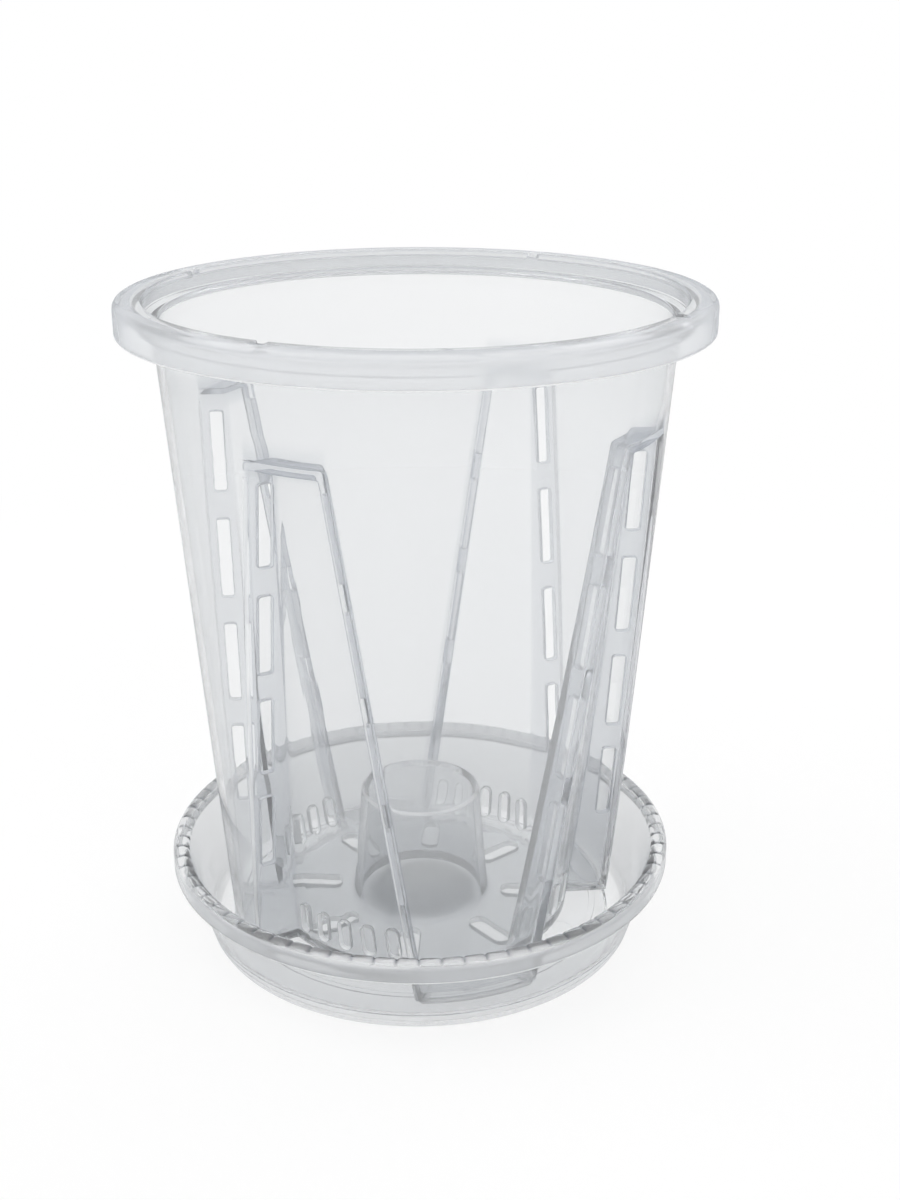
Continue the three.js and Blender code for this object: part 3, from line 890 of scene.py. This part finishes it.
def make_pot():
    heights, spans = body_heights()
    groups = pot_groups(heights)
    start = {}
    rows = []
    for name, members in groups:
        start[name] = len(rows)
        rows += [full_ring(member) for member in members]
    grid = Grid(rows, pot_marks(groups))

    def cut_body(span, columns, edge):
        first, last = span
        front = [start["inside"] + k for k in range(first, last + 1)]
        back = [start["outside"] + len(heights) - 1 - k for k in range(first, last + 1)]
        for low, high in columns:
            grid.cut(front, back, low, high, edge)

    cut_body(spans[0], panel_slot_spans(), DRAIN_EDGE)
    for span in spans[1:]:
        cut_body(span, mirrored_spans([STRIP_SLOT_COLUMNS]), STRIP_EDGE)
    cut_floor(grid, start)
    return grid.to_object("clear_pot", POT_BASE)


# Saucer

BEAD_ARCS = np.linspace(0, math.pi, BEAD_ARC_STEPS + 1)


def saucer_slope():
    inner_top = SAUCER_RADIUS - SAUCER_RIM_WIDTH
    return (inner_top - SAUCER_FLOOR_RADIUS) / (SAUCER_HEIGHT - SAUCER_FLOOR_TOP)


def saucer_inner(z):
    return SAUCER_FLOOR_RADIUS + (z - SAUCER_FLOOR_TOP) * saucer_slope()


def saucer_outer(z):
    return saucer_inner(z) + SAUCER_WALL * math.hypot(1, saucer_slope())


def saucer_angles():
    pitch = 2 * math.pi / BEAD_COUNT
    return np.array([(bead + station) * pitch for bead in range(BEAD_COUNT) for station in BEAD_STATIONS])


def groove():
    """How deep each column lies in the groove between two beads, from 0 to 1."""
    stations = np.tile(np.array(BEAD_STATIONS), BEAD_COUNT)
    away = np.minimum(stations, 1 - stations)
    return np.clip(1 - away / BEAD_GROOVE_WIDTH, 0, 1) ** BEAD_GROOVE_POWER


def groove_share(arc):
    """How far a groove is cut along the rim's round top: it fades out towards the band and the inside."""
    return smooth_step(arc / BEAD_GROOVE_START - 1) * smooth_step((math.pi - arc) / BEAD_GROOVE_END)


def ring_row(radius, z):
    return circle(radius, saucer_angles(), z)


def pad_rise(radius, angles):
    """How far the round pads lift the saucer's floor along one row."""
    rise = np.zeros(len(angles))
    for at, diameter, start in (LARGE_PAD, SMALL_PAD):
        turn = (angles - start + SECTOR / 2) % SECTOR - SECTOR / 2
        away = np.hypot(radius * np.cos(turn) - at, radius * np.sin(turn))
        rise = np.maximum(rise, PAD_HEIGHT * smooth_step((diameter / 2 - away) / PAD_SLOPE + 0.5))
    return rise


def saucer_under_rows():
    round_start = SAUCER_HEIGHT - SAUCER_RIM_ROUND
    foot = saucer_outer(0) - SAUCER_EDGE
    skirt = SAUCER_RADIUS - SAUCER_SKIRT
    band = SAUCER_HEIGHT - SAUCER_BAND
    hollow = band + SAUCER_SKIRT_DEPTH
    profile = [(0, SAUCER_FLOOR_UNDER, 0),
               (foot - SAUCER_FOOT_WIDTH - SAUCER_FLOOR_UNDER, SAUCER_FLOOR_UNDER, RIM_SMALL_ROUND),
               (foot - SAUCER_FOOT_WIDTH, 0, FOOT_ROUND), (saucer_outer(0), 0, 2 * SAUCER_EDGE),
               (saucer_outer(hollow), hollow, RIM_SMALL_ROUND), (skirt, hollow, RIM_SMALL_ROUND),
               (skirt, band, RIM_SMALL_ROUND), (SAUCER_RADIUS, band, RIM_SMALL_ROUND),
               (SAUCER_RADIUS, round_start - FOOT_ROUND, 0)]
    return [ring_row(r, z) for r, z in rounded(profile)]


def bead_rows():
    round_start = SAUCER_HEIGHT - SAUCER_RIM_ROUND
    inner = saucer_inner(round_start)
    middle = (SAUCER_RADIUS + inner) / 2
    rows = []
    for arc in BEAD_ARCS:
        shrink = 1 - BEAD_GROOVE * groove() * groove_share(arc)
        radius = middle + (SAUCER_RADIUS - middle) * math.cos(arc) * shrink
        rows.append(ring_row(radius, round_start + SAUCER_RIM_ROUND * math.sin(arc) * shrink))
    return rows


def saucer_floor_rows():
    round_start = SAUCER_HEIGHT - SAUCER_RIM_ROUND
    floor = SAUCER_FLOOR_TOP
    ring_top = floor + RING_HEIGHT
    ring_inner = RING_OUTER - RING_WIDTH
    pad_start = ring_inner - SLOT_EDGE
    profile = [(saucer_inner(round_start - FOOT_ROUND), round_start - FOOT_ROUND, 0),
               (SAUCER_FLOOR_RADIUS, floor, SAUCER_BEVEL), (RING_OUTER, floor, SLOT_EDGE),
               (RING_OUTER, ring_top, SLOT_EDGE), (ring_inner, ring_top, SLOT_EDGE),
               (ring_inner, floor, SLOT_EDGE / 2), (pad_start, floor, 0)]
    rows = [ring_row(r, z) for r, z in rounded(profile)]
    pad_end = LARGE_PAD[0] - LARGE_PAD[1] / 2 - PAD_SLOPE
    angles = saucer_angles()
    for radius in np.linspace(pad_start, pad_end, PAD_ROWS)[1:]:
        rows.append(ring_row(radius, floor + pad_rise(radius, angles)))
    rows.append(ring_row(pad_end / 2, floor))
    rows.append(ring_row(0, floor))
    return rows


def on_saucer_foot(row):
    """Whether a row lies on the rounded lower edge of the saucer's wall."""
    return np.hypot(*row[0, :2]) > SAUCER_FLOOR_RADIUS and row[0, 2] < 2 * SAUCER_EDGE


def saucer_marks(under, beads, floor):
    """How hazy, grey, dark and bright the saucer looks at each point."""
    rows = under + beads + floor
    band = SAUCER_HEIGHT - SAUCER_BAND
    plain = np.zeros(len(rows[0]))
    # Painted shade on the saucer's foot
    dark = [plain + SAUCER_FOOT_PAINTED_SHADE * on_saucer_foot(row) for row in under]
    # Painted shade in the grooves between the beads
    dark += [BEAD_GROOVE_PAINTED_SHADE * groove() * groove_share(arc) for arc in BEAD_ARCS]
    dark += [plain] * len(floor)
    marks = {"haze": [], "shade": [], "dark": [], "line": []}
    for row, share in zip(rows, dark):
        radius = np.hypot(*row[0, :2])
        on_band = radius > SAUCER_RADIUS - RIM_SMALL_ROUND
        wall = plain + smooth_step((radius - SAUCER_FLOOR_RADIUS + SAUCER_BEVEL) / SAUCER_BEVEL)
        marks["haze"].append(SAUCER_WALL_HAZE * wall + BAND_HAZE * on_band)
        marks["shade"].append(wall)
        marks["dark"].append(share + BAND_DARK * on_band)
        # A painted highlight along the band's lower edge
        marks["line"].append(plain + (on_band and abs(row[0, 2] - band) < RIM_SMALL_ROUND))
    return marks


def make_saucer():
    under = saucer_under_rows()
    beads = bead_rows()
    floor = saucer_floor_rows()
    grid = Grid(under + beads + floor, saucer_marks(under, beads, floor))
    return grid.to_object("clear_saucer", 0)


# Materials

def new_material(name):
    material = bpy.data.materials.new(name)
    material.use_nodes = True
    nodes = material.node_tree.nodes
    nodes.clear()
    output = nodes.new("ShaderNodeOutputMaterial")
    return material, nodes, material.node_tree.links, output


def noise(nodes, links, coordinates, scale, detail, stretch):
    """Noise over the object's own coordinates, stretched along each axis."""
    mapping = nodes.new("ShaderNodeMapping")
    mapping.inputs["Scale"].default_value = stretch
    links.new(coordinates.outputs["Object"], mapping.inputs["Vector"])
    texture = nodes.new("ShaderNodeTexNoise")
    texture.inputs["Scale"].default_value = scale
    texture.inputs["Detail"].default_value = detail
    links.new(mapping.outputs["Vector"], texture.inputs["Vector"])
    return texture


def spread(nodes, links, source, low, high):
    """Maps the middle of a noise to a range."""
    reach_node = nodes.new("ShaderNodeMapRange")
    reach_node.inputs["From Min"].default_value = NOISE_LOW
    reach_node.inputs["From Max"].default_value = NOISE_HIGH
    reach_node.inputs["To Min"].default_value = low
    reach_node.inputs["To Max"].default_value = high
    links.new(source.outputs["Fac"], reach_node.inputs["Value"])
    return reach_node.outputs["Result"]


def combined(nodes, links, operation, first, second):
    """One calculation with two values, each a socket or a plain number."""
    node = nodes.new("ShaderNodeMath")
    node.operation = operation
    for socket, value in zip(node.inputs, (first, second)):
        if isinstance(value, (int, float)):
            socket.default_value = value
        else:
            links.new(value, socket)
    return node.outputs["Value"]


def mark(nodes, name):
    """A share that the mesh carries at each of its points."""
    node = nodes.new("ShaderNodeAttribute")
    node.attribute_name = name
    return node.outputs["Fac"]


def mixed(nodes, links, share, first, second):
    """One colour where the share is 0, and another where it is 1."""
    node = nodes.new("ShaderNodeMix")
    node.data_type = "RGBA"
    for socket, colour in zip((node.inputs[6], node.inputs[7]), (first, second)):
        if isinstance(colour, tuple):
            socket.default_value = (*colour, 1)
        else:
            links.new(colour, socket)
    links.new(share, node.inputs["Factor"])
    return node.outputs[2]


def scaled_mark(nodes, links, name, factor):
    return combined(nodes, links, "MULTIPLY", mark(nodes, name), factor)


def colour_plastic(nodes, links, look, shader):
    """The plastic's tint: greyer and darker where the mesh is marked so, with painted shade and painted
    dark lines among the dark marks, and white for painted highlights.
    """
    shade = mark(nodes, "shade")
    plain = mixed(nodes, links, shade, look["tint"], look["shade_tint"])
    darker = mixed(nodes, links, mark(nodes, "dark"), plain, look["dark_tint"])
    bright = mixed(nodes, links, mark(nodes, "line"), darker, PAINTED_HIGHLIGHT_WHITE)
    edge = mixed(nodes, links, shade, look["edge_tint"], look["shade_edge_tint"])
    links.new(bright, shader.inputs["Base Color"])
    links.new(edge, shader.inputs["Coat Tint"])


def haze_plastic(nodes, links, look, shader, coordinates):
    """A finely uneven gloss, and less clear plastic where the mesh is marked as hazy and where a painted
    highlight lies.
    """
    cloud = noise(nodes, links, coordinates, **GLOSS_NOISE)
    gloss = spread(nodes, links, cloud, look["rough_low"], look["rough_high"])
    frost = scaled_mark(nodes, links, "haze", FROST_ROUGHNESS)
    haze = scaled_mark(nodes, links, "haze", FROST_HAZE)
    line = scaled_mark(nodes, links, "line", PAINTED_HIGHLIGHT_HAZE)
    taken = combined(nodes, links, "ADD", haze, line)
    clearness = combined(nodes, links, "SUBTRACT", look["clearness"], taken)
    links.new(clearness, shader.inputs["Transmission Weight"])
    links.new(combined(nodes, links, "ADD", gloss, frost), shader.inputs["Roughness"])


def add_flow_marks(nodes, links, shader, coordinates):
    """A soft bump like the flow marks in moulded plastic."""
    flow = noise(nodes, links, coordinates, **FLOW_NOISE)
    bump = nodes.new("ShaderNodeBump")
    bump.inputs["Strength"].default_value = BUMP_STRENGTH
    bump.inputs["Distance"].default_value = BUMP_DISTANCE
    links.new(flow.outputs["Fac"], bump.inputs["Height"])
    links.new(bump.outputs["Normal"], shader.inputs["Normal"])


def clear_plastic(name, look):
    """Clear moulded plastic under a thin film that darkens it where it is seen edge on."""
    material, nodes, links, output = new_material(name)
    shader = nodes.new("ShaderNodeBsdfPrincipled")
    shader.inputs["IOR"].default_value = look["bending"]
    shader.inputs["Coat Weight"].default_value = 1
    shader.inputs["Coat Roughness"].default_value = COAT_ROUGHNESS
    shader.inputs["Coat IOR"].default_value = look["film"]
    coordinates = nodes.new("ShaderNodeTexCoord")
    colour_plastic(nodes, links, look, shader)
    haze_plastic(nodes, links, look, shader, coordinates)
    add_flow_marks(nodes, links, shader, coordinates)
    links.new(shader.outputs["BSDF"], output.inputs["Surface"])
    return material


def seen_share(nodes, links, camera_share, through_share):
    """One share for what the camera sees directly, and one for what it sees through or in the plastic."""
    path = nodes.new("ShaderNodeLightPath").outputs
    through = combined(nodes, links, "MAXIMUM", path["Is Glossy Ray"], path["Is Transmission Ray"])
    direct = combined(nodes, links, "MULTIPLY", path["Is Camera Ray"], camera_share)
    weighted = combined(nodes, links, "MULTIPLY", through, through_share)
    return combined(nodes, links, "MAXIMUM", direct, weighted)


def ranged(nodes, links, value, low, high, first, last):
    """A smooth change from first to last while a value goes from low to high."""
    node = nodes.new("ShaderNodeMapRange")
    node.interpolation_type = "SMOOTHSTEP"
    node.inputs["From Min"].default_value = low
    node.inputs["From Max"].default_value = high
    node.inputs["To Min"].default_value = first
    node.inputs["To Max"].default_value = last
    links.new(value, node.inputs["Value"])
    return node.outputs["Result"]


def distance_from(nodes, links, coordinates, place):
    node = nodes.new("ShaderNodeVectorMath")
    node.operation = "DISTANCE"
    node.inputs[1].default_value = place
    links.new(coordinates.outputs["Object"], node.inputs[0])
    return node.outputs["Value"]


def white_share(nodes, links):
    """How white the floor looks: less where the shadow lies, and least at a fixed spot under the cone, a
    painted shadow that stays when the pot is lifted.
    """
    coordinates = nodes.new("ShaderNodeTexCoord")
    painted_shadow = distance_from(nodes, links, coordinates, PAINTED_SHADOW_PLACE)
    away = distance_from(nodes, links, coordinates, (0, 0, 0))
    near = ranged(nodes, links, painted_shadow, PAINTED_SHADOW_START, PAINTED_SHADOW_END, PAINTED_SHADOW_WHITE, THROUGH_WHITE)
    far = ranged(nodes, links, away, SHADOW_START, SHADOW_END, 0, 1)
    direct = seen_share(nodes, links, CAMERA_WHITE, 0)
    through = combined(nodes, links, "MULTIPLY", seen_share(nodes, links, 0, 1), near)
    outside = combined(nodes, links, "MULTIPLY", seen_share(nodes, links, 1, 1), far)
    return combined(nodes, links, "MAXIMUM", combined(nodes, links, "MAXIMUM", direct, through), outside)


def floor_material():
    """Pale matte floor that keeps the object's shadow near it, with a painted shadow under the cone, and
    turns white further out.
    """
    material, nodes, links, output = new_material("pale_floor")
    matte = nodes.new("ShaderNodeBsdfDiffuse")
    matte.inputs["Color"].default_value = FLOOR_COLOUR
    glow = nodes.new("ShaderNodeEmission")
    mix = nodes.new("ShaderNodeMixShader")
    links.new(white_share(nodes, links), mix.inputs["Fac"])
    links.new(matte.outputs["BSDF"], mix.inputs[1])
    links.new(glow.outputs["Emission"], mix.inputs[2])
    links.new(mix.outputs["Shader"], output.inputs["Surface"])
    return material


# Stage, light and camera

def make_floor():
    mesh = bpy.data.meshes.new("floor")
    half = FLOOR_REACH
    corners = [(-half, -half, 0), (half, -half, 0), (half, half, 0), (-half, half, 0)]
    mesh.from_pydata(corners, [], [(0, 1, 2, 3)])
    floor = bpy.data.objects.new("floor", mesh)
    floor.data.materials.append(floor_material())
    bpy.context.scene.collection.objects.link(floor)


def make_world():
    world = bpy.data.worlds.new("studio")
    bpy.context.scene.world = world
    world.use_nodes = True
    nodes = world.node_tree.nodes
    links = world.node_tree.links
    background = nodes["Background"]
    background.inputs["Color"].default_value = (1, 1, 1, 1)
    strength = nodes.new("ShaderNodeMapRange")
    strength.inputs["To Min"].default_value = WORLD_LIGHT
    strength.inputs["To Max"].default_value = 1
    links.new(seen_share(nodes, links, 1, 1), strength.inputs["Value"])
    links.new(strength.outputs["Result"], background.inputs["Strength"])


def area_light(name, position, power):
    data = bpy.data.lights.new(name, "AREA")
    data.shape = "DISK"
    data.size = LIGHT_SIZE
    data.energy = power
    light = bpy.data.objects.new(name, data)
    light.location = position
    aim = Vector(LIGHT_TARGET) - Vector(position)
    light.rotation_euler = aim.to_track_quat("-Z", "Y").to_euler()
    bpy.context.scene.collection.objects.link(light)


def make_lights():
    for name, (position, power) in LIGHTS.items():
        area_light(name, position, power)


def make_camera():
    data = bpy.data.cameras.new("camera")
    data.lens = CAMERA_LENS
    data.sensor_width = CAMERA_SENSOR
    camera = bpy.data.objects.new("camera", data)
    camera.location = Vector(CAMERA_PLACE) * MM
    camera.rotation_euler = (math.pi / 2 - CAMERA_PITCH, 0, CAMERA_HEADING)
    bpy.context.scene.collection.objects.link(camera)
    bpy.context.scene.camera = camera


def place(piece, body, node, slot, *materials):
    for material in materials:
        piece.data.materials.append(material)
    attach(piece, body)
    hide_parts(node)


make_camera()
make_floor()
make_world()
make_lights()
pot_plastic = clear_plastic("pot_plastic", POT_LOOK)
strip_edge = clear_plastic("strip_edge", STRIP_EDGE_LOOK)
# The slot walls' painted glow
painted_glow_edge = clear_plastic("painted_glow_edge", PAINTED_GLOW_EDGE_LOOK)
saucer_plastic = clear_plastic("saucer_plastic", SAUCER_LOOK)
place(make_pot(), "pot", "pot", "pot_plastic", pot_plastic, strip_edge, painted_glow_edge)
place(make_saucer(), "saucer", "saucer", "saucer_plastic", saucer_plastic)

scene = bpy.context.scene
scene.view_settings.view_transform = "Standard"
scene.cycles.max_bounces = LIGHT_BOUNCES
scene.cycles.transmission_bounces = LIGHT_BOUNCES
